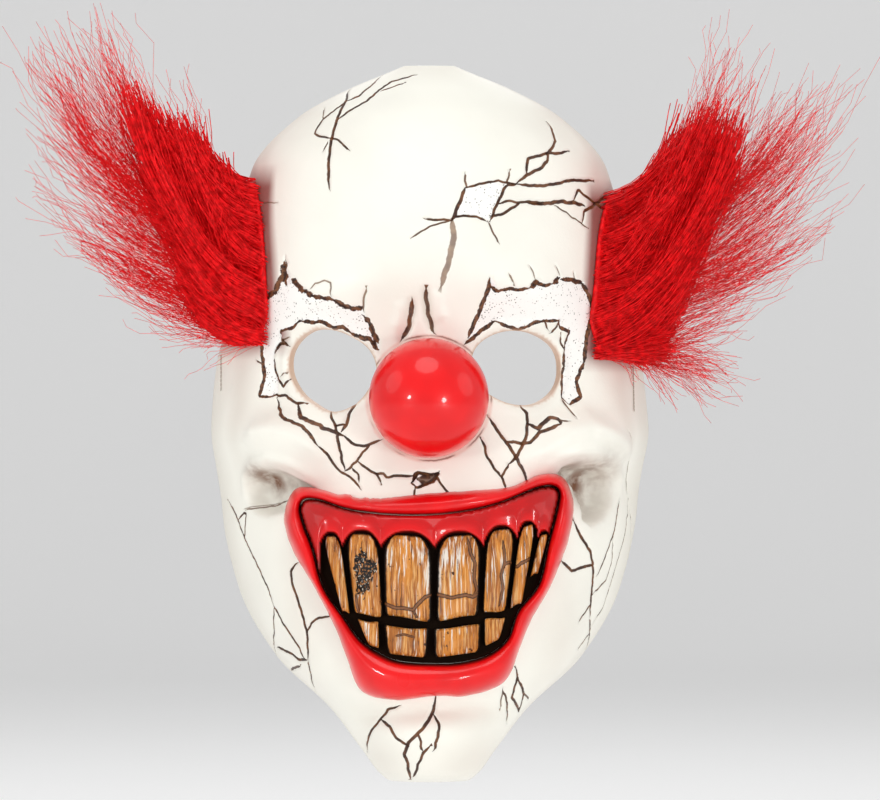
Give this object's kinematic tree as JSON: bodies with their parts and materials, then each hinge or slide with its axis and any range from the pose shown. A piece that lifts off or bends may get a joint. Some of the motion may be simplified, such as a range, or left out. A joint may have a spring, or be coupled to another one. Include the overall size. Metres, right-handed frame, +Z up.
{
  "type": "clown mask",
  "caption": "Hollow moulded clown face mask with ball nose, wide toothed grin, open eyes, fur tufts at the temples and an elastic head strap.",
  "frame": {"origin": "inner side of the nose bridge at the height of the eyes, where the mask seats on the wearer's face", "axes": "+Z up, the face looks towards -Y, +X to the right as one looks at the face"},
  "size_m": [0.2993, 0.2276, 0.2789],
  "materials": {
    "painted_latex": "satin ivory paint on latex with brown cracks",
    "nose_paint": "high gloss bright red",
    "lip_paint": "high gloss bright red",
    "gum_paint": "gloss dark red",
    "tooth_paint": "streaked amber, semi-gloss",
    "red_fur": "long synthetic fur",
    "elastic_band": "woven elastic"
  },
  "bodies": {
    "root": {"face_shell": "painted_latex", "nose_ball": "nose_paint", "lips": "lip_paint", "gum_plate": "gum_paint", "upper_tooth_1": "tooth_paint", "upper_tooth_2": "tooth_paint", "upper_tooth_3": "tooth_paint", "upper_tooth_4": "tooth_paint", "upper_tooth_5": "tooth_paint", "upper_tooth_6": "tooth_paint", "upper_tooth_7": "tooth_paint", "lower_tooth_1": "tooth_paint", "lower_tooth_2": "tooth_paint", "lower_tooth_3": "tooth_paint", "lower_tooth_4": "tooth_paint", "hair_tuft_left": "red_fur", "hair_tuft_right": "red_fur", "head_strap": "elastic_band"}
  },
  "joints": []
}
